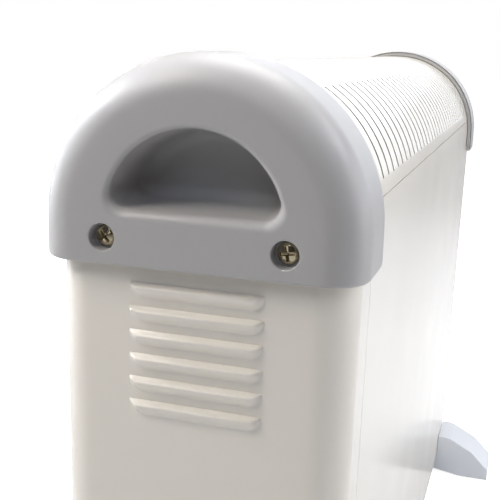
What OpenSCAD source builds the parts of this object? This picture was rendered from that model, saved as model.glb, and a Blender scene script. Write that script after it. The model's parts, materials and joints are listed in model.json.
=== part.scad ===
// A free-standing convector heater: a pressed steel casing with a half-round
// slotted top, two moulded end caps with carrying grips, and two moulded feet.
// The origin is on the floor, midway between the left end cap and the face of the
// knob. +X runs along the casing to the control end, -Y is the front and +Z is up.
// Sizes are in millimetres.

/* [Overall] */
// Length over the two end caps
overall_length = 540; // [480:30:720]
// Height from the floor to the top of the end caps
overall_height = 385; // [370:5:420]
// Depth over the front and rear tips of the feet
foot_span = 216; // [208:2:230]

/* [End caps] */
// Width of an end cap, twice the radius of its half-round top
cap_width = 135; // [133:0.5:138]
// Length of an end cap along the casing
cap_length = 40; // [38:1:44]
// Height of the straight skirt below the half-round
cap_skirt = 16; // [15:0.5:18]
// Radius of the edge between the end face and the rim
cap_edge = 16; // [10:1:18]
// Wall of the moulding
cap_wall = 2.5; // [2:0.1:2.8]
// How far a cap stands proud of the casing all round
cap_overhang = 4; // [3.8:0.1:4.6]
// How far the end panel lies behind the end face of its cap
cap_recess = 7; // [6.6:0.1:7.4]

/* [Carrying grip] */
// Radius of the arched side of the grip opening, at the end face
grip_radius = 38.9; // [36:0.1:39.5]
// Height of the flat side of the grip opening above the lower edge of the skirt
grip_rise = 18.7; // [18.5:0.1:19.5]
// Depth of the grip pocket
grip_depth = 30; // [24:1:34]
// Radius of the soft lip along the flat side of the opening
grip_lip = 4; // [3:0.5:4.5]
// Radius of the lip along the arched side
arch_lip = 2.2; // [1.4:0.2:3]

/* [Cap screws] */
// Distance of each screw from the middle of the cap
screw_offset = 37.5; // [35:0.5:40]
// Height of the screws above the lower edge of the skirt
screw_rise = 11; // [9:0.5:11.5]
// Diameter of the recess that hides the screw head
counterbore_diameter = 11; // [10:0.5:12]

/* [Casing] */
// Thickness of the pressed steel sheet
sheet = 1; // [0.8:0.1:1.2]
// Lean of the long sides towards the middle on their way down, in degrees
taper = 0.4; // [0.2:0.2:1]
// Outer radius of the upright corners of the end panels
corner_radius = 16; // [10:1:18]
// Length of the flange that each end panel turns along the front and rear
flange_length = 32.4; // [30:0.2:44]
// Height of the lower edge of the casing above the floor
casing_clearance = 20; // [20:1:22]

/* [Louvres] */
// Number of pressed louvres in each end panel
louvre_count = 6; // [3:1:6]
// Distance from one louvre to the next
louvre_pitch = 10; // [9:0.5:11]
// Width of a louvre along its straight upper lip
louvre_width = 57; // [50:1:64]
// How far a louvre stands out of its panel
louvre_depth = 3.4; // [2.8:0.1:4]

/* [Top grille] */
// Distance from one grille slot to the next
slot_pitch = 13.9; // [13.9:0.1:16]
// Width of a grille slot
slot_width = 3; // [2.5:0.5:4]
// Angle above the horizontal at which the slots begin
slot_start = 15; // [14:1:20]
// Half the angle of the unslotted spine along the top
spine_half_angle = 32; // [24:1:36]

/* [Feet] */
// Width of a foot along the casing
foot_width = 38; // [34:1:44]
// Height of a foot where it meets the casing
foot_height = 37; // [34:0.5:38]
// Height of the blunt tip of a foot
tip_height = 14; // [12:0.5:16]

/* [Controls] */
// Height of the thermostat knob's axis above the floor
knob_height = 200; // [190:1:208]
// Diameter of the thermostat knob
knob_diameter = 38; // [34:1:40]
// Number of grip flutes round the knob
knob_flutes = 24; // [12:1:28]
// Height of the pivots of the two rocker switches
rocker_height = 142; // [138:1:150]
// Tilt of a rocker away from the middle in either position, in degrees
rocker_tilt = 8; // [5:1:9]

/* [Heating elements] */
// Diameter of the sheathed heating tube
tube_diameter = 8; // [7:0.5:9]
// Distance between the two runs of a hairpin element
tube_spacing = 40; // [34:1:42]
// Distance from one cooling fin to the next
fin_pitch = 9; // [8:1:12]

/* [Hidden] */
$fn = 64;

// Overlap that lets a cut run clear of a face
cut = 0.1;
half_length = overall_length / 2;
cap_radius = cap_width / 2;
// Height of the axis that the caps and the grille are turned about
arc_z = overall_height - cap_radius;
casing_radius = cap_radius - cap_overhang;
cap_bottom = arc_z - cap_skirt;
screw_z = cap_bottom + screw_rise;
// The end panels stop just below the grip pockets
panel_top = cap_bottom + 15;
panel_face = half_length - cap_recess;
panel_inner = panel_face - sheet;
// Depth of the face that the head of a cap screw bears on
screw_seat = cap_recess - 1.5;
// Where the flanges of the end panels end and the long panels begin
seam_x = panel_face - flange_length;
seam_gap = 0.3;
tongue_length = 16;

// Screw bores in thin sheet, and the clearance bores in the mouldings
sheet_bore = 4.1;
moulding_bore = 4.4;

plastic_grey = [0.70, 0.70, 0.71];
paint = [0.91, 0.89, 0.86];
zinc = [0.72, 0.71, 0.67];
galvanised = [0.66, 0.68, 0.70];
black = [0.10, 0.10, 0.11];
ceramic = [0.93, 0.91, 0.86];
heat_tinted = [0.50, 0.48, 0.45];
silicone = [0.42, 0.16, 0.11];

// Distance from the middle plane, at height z, of a long side that is drawn at distance c
function side_at(c, z) = (c + (z - arc_z) * sin(taper)) / cos(taper);

// Moves the casing so that the knob's reach is shared out between both ends
module centred() {
    translate([(cap_recess - knob_gap - knob_depth - pointer_rise) / 2, 0, 0]) children();
}

// Draws its children at the left end and turns them round to the right end
module at_end(side) {
    mirror([side > 0 ? 1 : 0, 0, 0]) translate([-half_length, 0, 0]) children();
}

// Extrudes an outline drawn across the casing along its length
module along(x0, x1) {
    translate([x0, 0, 0]) rotate([90, 0, 90]) linear_extrude(x1 - x0) children();
}

// Extrudes an outline drawn in the X and Z directions from y0 to y1
module across(y0, y1) {
    translate([0, y1, 0]) rotate([90, 0, 0]) linear_extrude(y1 - y0) children();
}

// A round bar along X
module bar(diameter, x0, x1, y = 0, z = 0) {
    translate([x0, y, z]) rotate([0, 90, 0]) cylinder(d = diameter, h = x1 - x0);
}

// A wedge of the circle about the grille's axis, with angles from the front horizontal
module wedge(from, to, reach) {
    steps = ceil((to - from) / 45);
    polygon(concat([[0, arc_z]], [for (i = [0:steps])
        let (a = from + (to - from) * i / steps)
        [-reach * cos(a), arc_z + reach * sin(a)]]));
}

module ring(inner, outer, from, to) {
    intersection() {
        difference() {
            translate([0, arc_z]) circle(outer, $fn = 128);
            translate([0, arc_z]) circle(inner, $fn = 128);
        }
        wedge(from, to, outer * 1.5);
    }
}

// The outline of a cap seen from its end: a half round on a straight skirt
module tombstone(radius, bottom) {
    difference() {
        union() {
            translate([0, arc_z]) circle(radius, $fn = 128);
            translate([-radius, bottom]) square([2 * radius, arc_z - bottom]);
        }
        translate([-radius - 1, bottom - 2 * radius]) square([2 * radius + 2, 2 * radius]);
    }
}

// Section through a cap's rim: radius along X, distance from the end face along Y
module rim_profile(radius, edge, depth, start) {
    translate([0, start]) {
        square([radius - edge, depth]);
        translate([0, edge]) square([radius, depth - edge]);
        translate([radius - edge, edge]) circle(edge);
    }
}

// The rim section turned over the top and drawn straight down both sides
module cap_form(radius, edge, depth, start) {
    translate([0, 0, arc_z]) rotate([0, 90, 0]) rotate([0, 0, 90])
        rotate_extrude(angle = 180, $fn = 128) rim_profile(radius, edge, depth, start);
    translate([0, 0, cap_bottom]) linear_extrude(cap_skirt)
        for (front = [0, 1]) mirror([0, front, 0]) mirror([1, -1, 0])
            rim_profile(radius, edge, depth, start);
}

// The grip outline: its arch is set in by arch and its flat side by flat, with
// rounded lower corners
module grip_outline(arch, flat, corner) {
    r = grip_radius - arch;
    rise = flat + corner;
    intersection() {
        circle(r, $fn = 72);
        translate([-2 * r, rise]) square([4 * r, 2 * r]);
    }
    for (side = [-1, 1]) translate([side * sqrt((r - corner) * (r - corner) - rise * rise), rise])
        circle(corner, $fn = 32);
}

// The grip form between two sections, each [depth, arch, flat, corner]
module grip_slice(first, last) {
    hull() for (s = [first, last])
        translate([s[0], 0, cap_bottom + grip_rise]) rotate([90, 0, 90]) linear_extrude(0.01)
            grip_outline(s[1], s[2], s[3]);
}

// How far a lip of radius r has turned in at depth d
function lip_inset(r, d) = d >= r ? r : sqrt(r * r - (r - d) * (r - d));
function lip_section(d) = [d, lip_inset(arch_lip, d), lip_inset(grip_lip, d), grip_corner - lip_inset(1, d)];

// Radii of the lower corners of the grip and of the cap, and how far the walls of the
// pocket lean in towards its back
grip_corner = 8;
skirt_corner = 2;
grip_draft = 2;
module end_cap(side) {
    lip_depths = [0, 0.5, 1.6, grip_lip];
    pocket_end = [grip_depth, arch_lip + grip_draft, grip_lip + grip_draft, grip_corner - grip_draft];
    color(plastic_grey) at_end(side) difference() {
        union() {
            difference() {
                cap_form(cap_radius, cap_edge, cap_length, 0);
                cap_form(cap_radius - cap_wall, cap_edge - cap_wall, cap_length, cap_wall);
                translate([cap_wall + cap_edge, -cap_radius + cap_wall, cap_bottom - 1])
                    cube([cap_length, cap_width - 2 * cap_wall, 2]);
            }
            // A lip inside the open edge closes the gap to the casing
            along(cap_length - 3, cap_length) difference() {
                tombstone(cap_radius - cap_wall / 2, cap_bottom);
                tombstone(casing_radius + 0.3, cap_bottom - 1);
            }
            grip_slice([cap_wall / 2, -cap_wall / 2, -cap_wall / 4, grip_corner + cap_wall],
                [grip_depth + cap_wall, arch_lip + grip_draft - cap_wall, grip_lip + grip_draft - cap_wall,
                grip_corner + cap_wall - grip_draft]);
            for (y = [-1, 1])
                bar(counterbore_diameter + 4, cap_wall / 2, cap_recess, y * screw_offset, screw_z);
        }
        for (k = [0:len(lip_depths) - 2])
            grip_slice(k == 0 ? [-cut, 0, 0, grip_corner] : lip_section(lip_depths[k]),
                lip_section(lip_depths[k + 1] + 0.02));
        grip_slice(lip_section(grip_lip), pocket_end);
        for (y = [-1, 1]) {
            bar(counterbore_diameter, -cut, screw_seat, y * screw_offset, screw_z);
            bar(moulding_bore, 0, cap_recess + cut, y * screw_offset, screw_z);
        }
        // Rounds off the two lower corners
        along(-cut, cap_length + cut) for (front = [0, 1]) mirror([front, 0])
            difference() {
                translate([cap_radius - skirt_corner, cap_bottom - 1]) square(skirt_corner + 1);
                translate([cap_radius - skirt_corner, cap_bottom + skirt_corner]) circle(skirt_corner);
            }
    }
}

// A pan-head screw along +X: its head begins at x and the shank runs inwards
module pan_screw(x, y, z, head, shank, length) {
    translate([x, y, z]) rotate([0, 90, 0]) difference() {
        union() {
            translate([0, 0, 1]) cylinder(d = head, h = 1.6);
            intersection() {
                translate([0, 0, head * 0.95]) sphere(head * 0.95);
                cylinder(d = head, h = 1);
            }
            translate([0, 0, 2.6]) cylinder(d = shank, h = length);
        }
        for (turn = [0, 90]) rotate([0, 0, turn])
            translate([-head * 0.3, -0.55, -1]) cube([head * 0.6, 1.1, 2.4]);
    }
}

module cap_screws(side) {
    color(zinc) at_end(side) for (y = [-1, 1])
        pan_screw(screw_seat - 2.6, y * screw_offset, screw_z, 8.4, 4, 12);
}

// Front view of a louvre below its lip, grown by g
module louvre_front(g) {
    w = louvre_width / 2 + g;
    polygon([[-w, 1], [-w, 0], [-w + 0.8, -2.2], [-w + 2.8, -4.9], [-w + 6, -7.4 - g],
        [w - 6, -7.4 - g], [w - 2.8, -4.9], [w - 0.8, -2.2], [w, 0], [w, 1]]);
}

// The bulge of a louvre, grown by g: a bowed section with sloping ends, open at its lip
louvre_bow = 3.8;
louvre_crest = 2.6;
module louvre_form(z, g) {
    back = cap_recess + sheet / 2 - g;
    front = cap_recess - louvre_depth - 1;
    w = louvre_width / 2 + g;
    intersection() {
        translate([0, 0, z]) across(-40, 40)
            translate([cap_recess - louvre_depth + louvre_bow, -louvre_crest]) circle(louvre_bow + g);
        translate([0, 0, z]) along(front, back) louvre_front(g);
        translate([0, 0, z - 12]) linear_extrude(12 - min(0, g) / 20) polygon([
            [back, -w - 0.4], [front, -w + 4.6], [front, w - 4.6], [back, w + 0.4]]);
    }
}

// Plan of the casing at its end, with its front corner bent, set in by g
module corner_plan(g, reach) {
    c = casing_radius - corner_radius;
    bend = cap_recess + corner_radius;
    difference() {
        translate([cap_recess + g, -casing_radius + g])
            square([reach - g, casing_radius + cap_width]);
        difference() {
            translate([cap_recess, -casing_radius]) square(corner_radius);
            translate([bend, -c]) circle(corner_radius - g);
        }
    }
}

// Leans its children's plan to follow the taper of the front side
module leaning(height, low = 0) {
    translate([0, 0, arc_z]) rotate([taper, 0, 0]) translate([0, 0, low - arc_z])
        linear_extrude(height - low) children();
}

module panel_form(g, reach) {
    intersection() {
        leaning(arc_z + 20, -20) corner_plan(g, reach);
        mirror([0, 1, 0]) leaning(arc_z + 20, -20) corner_plan(g, reach);
    }
}

// The pressed shell, with a joggled tongue on each side behind the long panels
module panel_shell() {
    end = cap_recess + flange_length;
    intersection() {
        union() {
            difference() {
                panel_form(0, flange_length);
                panel_form(sheet, flange_length + 1);
            }
            for (rear = [0, 1]) mirror([0, rear, 0]) leaning(arc_z + 20, -20) {
                translate([end - sheet, -casing_radius + sheet / 2])
                    square([sheet, 1.5 * sheet + 0.1]);
                translate([end - sheet, -casing_radius + sheet + 0.1])
                    square([tongue_length, sheet]);
            }
        }
        translate([0, -cap_width, casing_clearance])
            cube([cap_width, 2 * cap_width, panel_top - casing_clearance]);
    }
}

module end_panel(side) {
    color(paint) difference() {
        at_end(side) pressed_panel(side);
        rear_screw_positions() translate([0, 0, -4]) cylinder(d = sheet_bore, h = 6);
    }
}

first_louvre = 7.4;
module pressed_panel(side) {
    first = cap_bottom - first_louvre;
    difference() {
        union() {
            panel_shell();
            for (k = [0:louvre_count - 1]) louvre_form(first - k * louvre_pitch, 0);
        }
        for (k = [0:louvre_count - 1]) louvre_form(first - k * louvre_pitch, -sheet);
        for (y = [-1, 1])
            bar(sheet_bore, cap_recess - 1, cap_recess + 3, y * screw_offset, screw_z);
        if (side > 0) control_openings();
    }
}

// Sizes shared by the controls and the openings that they fill
bush_diameter = 10;
switch_width = 13;
switch_length = 19.2;
switch_spacing = 24;
gland_neck = 13;
gland_y = 26;
gland_z = 62;

module control_openings() {
    bar(bush_diameter + 0.1, cap_recess - 1, cap_recess + 3, 0, knob_height);
    for (y = [-1, 1]) translate([cap_recess - 1, y * switch_spacing / 2 - switch_width / 2 - 0.1,
        rocker_height - switch_length / 2 - 0.1])
        cube([4, switch_width + 0.2, switch_length + 0.2]);
    bar(gland_neck + 0.2, cap_recess - 1, cap_recess + 3, gland_y, gland_z);
}

// Section of a long panel: the leaning face, the tuck below the grille and the bottom return
tuck_start = 7.6;
tuck_end = 14;
module long_panel_section() {
    r = casing_radius;
    intersection() {
        translate([0, arc_z]) rotate(taper) translate([-r, -arc_z]) square([sheet, arc_z]);
        translate([-2 * r, casing_clearance]) square([2 * r, arc_z]);
    }
    ring(r - sheet, r, -taper - 0.5, tuck_start + 0.5);
    ring(r - 2 * sheet - 0.1, r, tuck_start, tuck_start + 1);
    ring(r - 2 * sheet - 0.1, r - sheet - 0.1, tuck_start, tuck_end);
}

module long_panel(rear) {
    mirror([0, rear, 0]) along(-seam_x + seam_gap, seam_x - seam_gap) long_panel_section();
}

module front_panel() {
    color(paint) long_panel(0);
}

// Screws hold the rear panel to the tongues of the end panels
rear_screw_heights = [60, 160, 260];
module rear_screw_positions() {
    for (side = [-1, 1], z = rear_screw_heights)
        translate([side * (seam_x - 9), side_at(casing_radius, z), z])
            rotate([-90 - taper, 0, 0]) children();
}

module rear_panel() {
    color(paint) difference() {
        long_panel(1);
        rear_screw_positions() translate([0, 0, -4]) cylinder(d = sheet_bore, h = 8);
    }
}

module rear_panel_screws() {
    color(zinc) rear_screw_positions() {
        difference() {
            cylinder(d = 7.5, h = 2.2);
            for (turn = [0, 90]) rotate([0, 0, turn])
                translate([-2.3, -0.5, 1]) cube([4.6, 1, 2]);
        }
        translate([0, 0, -6]) cylinder(d = 4, h = 6);
    }
}

// The half-round grille: arched bridges between two side rails and a plain spine
grille_edge = 9;
grille_inset = 12;
module top_grille() {
    slots_each_way = floor((half_length - cap_length - slot_width / 2 - 2) / slot_pitch + 0.5);
    end = half_length - grille_inset;
    low = casing_radius - sheet;
    bridge = slot_pitch - slot_width;
    color(paint) {
        along(-end, end) {
            ring(low, casing_radius, grille_edge, slot_start);
            ring(low, casing_radius, 180 - slot_start, 180 - grille_edge);
            ring(low, casing_radius, 90 - spine_half_angle, 90 + spine_half_angle);
        }
        for (side = [0, 1]) mirror([0, side, 0]) {
            for (k = [1 - slots_each_way:slots_each_way - 1])
                along(k * slot_pitch - bridge / 2, k * slot_pitch + bridge / 2)
                    ring(low, casing_radius, slot_start - 1, 91 - spine_half_angle);
            for (last = [0, 1]) mirror([last, 0, 0])
                along(-end, (0.5 - slots_each_way) * slot_pitch - slot_width / 2)
                    ring(low, casing_radius, slot_start - 1, 91 - spine_half_angle);
        }
    }
}

// The base: a shallow tray with air inlet slots, its sides turned up inside the panels
module base_plate() {
    bottom = casing_clearance;
    top = bottom + 16;
    inside = panel_inner - 0.5;
    inlets = floor((inside - 60) / 12);
    outer = casing_radius - 2.2 * sheet;
    inner = outer - sheet;
    color(galvanised) difference() {
        along(-inside, inside) polygon([
            [-side_at(outer, bottom), bottom], [-side_at(outer, top), top],
            [-side_at(inner, top), top], [-side_at(inner, bottom), bottom + sheet],
            [side_at(inner, bottom), bottom + sheet], [side_at(inner, top), top],
            [side_at(outer, top), top], [side_at(outer, bottom), bottom]]);
        for (k = [-inlets:inlets]) translate([k * 12 - 2.5, -36, bottom - 1]) cube([5, 72, 4]);
        for (side = [-1, 1], y = [-1, 1]) translate([side * foot_x, y * foot_screw_y, bottom - 1])
            cylinder(d = sheet_bore, h = 4);
        // The tray clears the bent corners of the end panels
        for (side = [-1, 1], y = [-1, 1])
            translate([side * inside, y * casing_radius, bottom + 20]) rotate([0, 0, 45])
                cube([26, 26, 80], center = true);
    }
}

// Feet: a saddle below the casing that runs out to a rounded toe at the front and rear
foot_x = panel_face - 12 - foot_width / 2;
foot_screw_y = 40;
foot_pad_inset = 13;
foot_bottom = 1;
arch_rise = 4.4;
foot_screw_seat = foot_bottom + arch_rise + 6;
toe = foot_span / 2;
toe_radius = 45;
module half_foot_section() {
    gap = 0.3;
    wall_low = side_at(casing_radius, casing_clearance) + gap;
    wall_top = side_at(casing_radius, foot_height) + gap;
    centre = [-wall_top - 1, foot_height - toe_radius];
    slope = 42;
    bend = [centre[0] - toe_radius * sin(slope), centre[1] + toe_radius * cos(slope)];
    nose = -toe + 3.5;
    nose_z = bend[1] - (bend[0] - nose) * tan(slope);
    difference() {
        polygon([[0, casing_clearance], [0, foot_bottom + arch_rise],
            [-wall_low + 6, foot_bottom + arch_rise], [-toe + 26, foot_bottom],
            [-toe, foot_bottom], [-toe + 0.6, min(tip_height, nose_z) - 2.4],
            [nose, min(tip_height, nose_z)], bend,
            [centre[0], foot_height + 4], [-wall_top, foot_height + 4],
            [-wall_low, casing_clearance]]);
        difference() {
            translate([bend[0], bend[1]]) square([-bend[0], 40]);
            translate(centre) circle(toe_radius, $fn = 128);
        }
    }
}

module foot(side) {
    color(plastic_grey) difference() {
        along(side * foot_x - foot_width / 2, side * foot_x + foot_width / 2)
            for (rear = [0, 1]) mirror([rear, 0]) half_foot_section();
        for (y = [-1, 1]) {
            translate([side * foot_x, y * foot_screw_y, 0]) {
                cylinder(d = moulding_bore, h = 40);
                cylinder(d = 9, h = foot_screw_seat);
            }
            translate([side * foot_x, y * (toe - foot_pad_inset), 0]) cylinder(d = 14, h = 3);
        }
    }
}

module foot_screws(side) {
    color(zinc) for (y = [-1, 1])
        translate([side * foot_x, y * foot_screw_y, foot_screw_seat]) difference() {
            union() {
                translate([0, 0, -2.4]) cylinder(d = 8, h = 2.4);
                cylinder(d = 4, h = 14);
            }
            for (turn = [0, 90]) rotate([0, 0, turn])
                translate([-2.3, -0.5, -3]) cube([4.6, 1, 2]);
        }
}

module foot_pads(side) {
    color(black) for (y = [-1, 1])
        translate([side * foot_x, y * (toe - foot_pad_inset), 0]) cylinder(d = 14, h = 3);
}

// A finned hairpin element: a bent sheathed tube carrying pressed fins
lower_element_z = 78;
upper_element_z = 112;
element_start = -190;
element_end = 196;
module heating_element(z) {
    half = tube_spacing / 2;
    fins = floor((element_end - element_start - 34) / fin_pitch);
    color(heat_tinted) translate([0, 0, z]) {
        for (y = [-1, 1]) {
            bar(tube_diameter, element_start, element_end + 22, y * half);
            bar(3, element_end + 22, element_end + 34, y * half);
        }
        translate([element_start, 0, 0]) rotate([0, 0, 90])
            rotate_extrude(angle = 180) translate([half, 0]) circle(d = tube_diameter);
        for (k = [0:fins - 1])
            translate([element_start + 14 + k * fin_pitch, -tube_spacing / 2 - 11, -12])
                cube([0.6, tube_spacing + 22, 24]);
    }
}

// End plates that stand on the base and carry the elements
bracket_left = element_start + 3;
bracket_right = element_end + 3;
bush_outer = 14;
module element_bracket(x, turn) {
    width = tube_spacing + 34;
    color(galvanised) translate([x, 0, 0]) difference() {
        union() {
            translate([0, -width / 2, casing_clearance + sheet])
                cube([1.5, width, 130 - casing_clearance]);
            translate([turn > 0 ? 0 : -12.5, -width / 2, casing_clearance + sheet])
                cube([14, width, 1.5]);
        }
        for (z = [lower_element_z, upper_element_z], y = [-1, 1])
            bar(bush_outer - 4, -2, 4, y * tube_spacing / 2, z);
        translate([-2, -12, 38]) cube([6, 24, 22]);
    }
}

module ceramic_bushes() {
    color(ceramic) for (x = [bracket_left, bracket_right], z = [lower_element_z, upper_element_z], y = [-1, 1])
        difference() {
            union() {
                bar(bush_outer - 4, x, x + 3, y * tube_spacing / 2, z);
                bar(bush_outer, x + 1.5, x + 4.5, y * tube_spacing / 2, z);
                bar(bush_outer, x - 3, x, y * tube_spacing / 2, z);
            }
            bar(tube_diameter, x - 4, x + 6, y * tube_spacing / 2, z);
        }
}

// Bright shields that keep the heat off the long panels, open above to the grille
shield_y = 46;
shield_height = 222;
shield_holes = 8;
module heat_shield(rear) {
    foot = casing_clearance + sheet;
    length = bracket_right - bracket_left - 12;
    face = -shield_y;
    color(galvanised) mirror([0, rear, 0]) translate([bracket_left + 6, 0, 0]) difference() {
        along(0, length) polygon([[face, foot], [face + 9, foot], [face + 9, foot + 0.8],
            [face + 0.8, foot + 0.8], [face + 0.8, foot + shield_height],
            [face + 8, foot + shield_height + 14], [face + 7.2, foot + shield_height + 14],
            [face, foot + shield_height]]);
        for (k = [0:shield_holes - 1])
            translate([length * (k + 0.5) / shield_holes - 15, face - 1, foot + 23]) cube([30, 3, 6]);
    }
}

// The bimetal disc cut-out on the bracket at the control end
cutout_z = 120;
module thermal_cutout() {
    x = bracket_right + 1.5;
    color(heat_tinted) {
        bar(16, x, x + 8, 0, cutout_z);
        bar(19, x, x + 1, 0, cutout_z);
        for (y = [-1, 1]) translate([x + 8 - cut, y * 4 - 2.4, cutout_z - 0.4])
            cube([9, 4.8, 0.8]);
    }
}

// Thermostat: a moulded body behind the panel, with a threaded neck and a shaft bore
shaft_diameter = 6;
knob_gap = 0.8;
knob_depth = 17;
pointer_rise = 1;
module thermostat_body() {
    color(black) at_end(1) difference() {
        union() {
            translate([cap_recess + sheet, -14, knob_height - 17]) cube([20, 28, 34]);
            bar(bush_diameter, cap_recess - 0.6, cap_recess + sheet + 2, 0, knob_height);
            for (y = [-1, 1]) translate([cap_recess + sheet + 20, y * 8 - 2.4, knob_height - 6])
                cube([8, 4.8, 0.8]);
        }
        bar(shaft_diameter + 0.12, cap_recess - 3, cap_recess + 16, 0, knob_height);
    }
}

module thermostat_shaft() {
    color(zinc) at_end(1) difference() {
        bar(shaft_diameter, -6, cap_recess + 15.5, 0, knob_height);
        // The flat that drives the knob
        translate([-7, 1.6, knob_height - 4]) cube([9, 4, 8]);
    }
}

// The knob: a stepped turned form with grip flutes and a raised pointer bar
module thermostat_knob() {
    r = knob_diameter / 2;
    skirt = cap_recess - knob_gap;
    face = skirt - knob_depth;
    color(plastic_grey) at_end(1) translate([0, 0, knob_height]) difference() {
        union() {
            translate([skirt, 0, 0]) rotate([0, -90, 0]) rotate_extrude($fn = 96) difference() {
                union() {
                    square([r, 4]);
                    translate([0, 3.9]) square([r - 3, knob_depth - 5.4]);
                    translate([0, 3]) square([r - 4.5, knob_depth - 3]);
                    translate([r - 4.5, knob_depth - 1.5]) circle(1.5);
                }
                // The hollow below leaves a hub for the shaft
                translate([5, -1]) square([r - 10.6, knob_depth - 2.5]);
            }
            translate([face - pointer_rise, -1.4, -2]) cube([3, 2.8, r - 3]);
        }
        difference() {
            bar(shaft_diameter + 0.04, -6.05, cap_recess + 1);
            translate([-7, 1.62, -4]) cube([9, 4, 8]);
        }
        for (k = [0:knob_flutes - 1]) rotate([360 * (k + 0.5) / knob_flutes, 0, 0])
            bar(2.4, face - 2, skirt - 4.6, 0, r - 2.3);
    }
}

// A rocker switch housing: a rimmed frame outside the panel and a box behind it
pivot_depth = 2.2;
rocker_radius = 8.6;
rocker_width = 9.6;
module switch_body(y) {
    color(black) at_end(1) translate([0, y, rocker_height]) difference() {
        union() {
            translate([cap_recess - 2, -switch_width / 2 - 1.5, -switch_length / 2 - 1.5])
                cube([2, switch_width + 3, switch_length + 3]);
            translate([cap_recess - 1, -switch_width / 2, -switch_length / 2])
                cube([17, switch_width, switch_length]);
            for (z = [-6, 0, 6]) translate([cap_recess + 16, -2.4, z - 0.4])
                cube([8, 4.8, 0.8]);
        }
        // The rocker swings in a round-bottomed pocket
        across(-rocker_width / 2 - 0.2, rocker_width / 2 + 0.2)
            translate([cap_recess + pivot_depth, 0]) circle(rocker_radius + 0.25, $fn = 96);
        translate([cap_recess + pivot_depth, -switch_width / 2 + 0.6, 0]) rotate([-90, 0, 0])
            cylinder(d = 3.1, h = switch_width - 1.2);
    }
}

// The rocker: two faces that meet over the pivot, with round ends about the pivot
module rocker(y) {
    dip = 12;
    color(black) at_end(1) translate([cap_recess + pivot_depth, y, rocker_height])
        rotate([0, rocker_tilt, 0]) {
        across(-rocker_width / 2, rocker_width / 2) intersection() {
            circle(rocker_radius, $fn = 96);
            polygon([[3.5, -9], [3.5, 9], [-4.2 - 9 * tan(dip), 9], [-4.2, 0],
                [-4.2 - 9 * tan(dip), -9]]);
        }
        translate([0, -switch_width / 2 + 0.8, 0]) rotate([-90, 0, 0])
            cylinder(d = 3, h = switch_width - 1.6);
    }
}

// Terminal block on the base, between the cord inlet and the switches
block_x = 228;
module terminal_block() {
    color(ceramic) translate([block_x, 0, casing_clearance + sheet]) difference() {
        union() {
            translate([-8, -22, 0]) cube([16, 44, 8]);
            for (y = [-14, 0, 14]) translate([-6, y - 5, 7]) cube([12, 10, 7]);
        }
        for (y = [-14, 0, 14]) {
            translate([0, y, 9]) cylinder(d = 4, h = 8);
            bar(3.4, -10, 10, y, 4.5);
        }
    }
}

// The moulded cord inlet: an outer flange, a grooved neck and an inner nut
module cord_gland() {
    color(black) at_end(1) translate([0, gland_y, gland_z]) difference() {
        union() {
            bar(20, cap_recess - 3, cap_recess);
            bar(gland_neck, cap_recess - 8, cap_recess + 9);
            bar(19, cap_recess + sheet, cap_recess + sheet + 4, $fn = 6);
        }
        bar(9, cap_recess - 9, cap_recess + 10);
    }
}

// A wire along a list of points
module wire(points, diameter) {
    for (i = [0:len(points) - 2]) hull() for (p = [points[i], points[i + 1]])
        translate(p) sphere(d = diameter, $fn = 8);
}

module internal_wiring() {
    back = panel_face - 26;
    post = element_end + 36;
    y = switch_spacing / 2;
    color(silicone) {
        wire([[block_x - 2, -14, 36], [block_x + 2, -26, 60], [back - 2, -y, 118],
            [back - 1, -y, rocker_height - 6]], 2.6);
        wire([[block_x - 2, 0, 36], [block_x + 6, 0, 66], [back - 2, y, 118],
            [back - 1, y, rocker_height - 6]], 2.6);
        wire([[back - 1, -y, rocker_height + 6], [back - 4, -16, 168],
            [back - 3, -8, knob_height - 9]], 2.6);
        wire([[back - 1, y, rocker_height + 6], [back - 4, 16, 168],
            [back - 3, 8, knob_height - 9]], 2.6);
        for (s = [-1, 1]) wire([[post, s * tube_spacing / 2, upper_element_z],
            [post + 2, s * 12, cutout_z], [bracket_right + 20.4, s * 4, cutout_z]], 2.6);
    }
}

centred() end_cap(-1);  // left_end_cap
centred() end_cap(1);  // right_end_cap
centred() cap_screws(-1);  // left_cap_screws
centred() cap_screws(1);  // right_cap_screws
centred() end_panel(-1);  // left_end_panel
centred() end_panel(1);  // right_end_panel
centred() front_panel();
centred() rear_panel();
centred() top_grille();
centred() base_plate();
centred() rear_panel_screws();
centred() foot(-1);  // left_foot
centred() foot(1);  // right_foot
centred() foot_screws(-1);  // left_foot_screws
centred() foot_screws(1);  // right_foot_screws
centred() foot_pads(-1);  // left_foot_pads
centred() foot_pads(1);  // right_foot_pads
centred() heating_element(lower_element_z);  // lower_heating_element
centred() heating_element(upper_element_z);  // upper_heating_element
centred() element_bracket(bracket_left, -1);  // left_element_bracket
centred() element_bracket(bracket_right, 1);  // right_element_bracket
centred() ceramic_bushes();
centred() heat_shield(0);  // front_heat_shield
centred() heat_shield(1);  // rear_heat_shield
centred() thermal_cutout();
centred() thermostat_body();
centred() thermostat_shaft();
centred() thermostat_knob();
centred() switch_body(-switch_spacing / 2);  // low_heat_switch_body
centred() switch_body(switch_spacing / 2);  // high_heat_switch_body
centred() rocker(-switch_spacing / 2);  // low_heat_rocker
centred() rocker(switch_spacing / 2);  // high_heat_rocker
centred() terminal_block();
centred() cord_gland();
centred() internal_wiring();
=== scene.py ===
import json
import math
import bpy
import bmesh
from mathutils import Matrix, Vector
from mathutils.geometry import delaunay_2d_cdt


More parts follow.
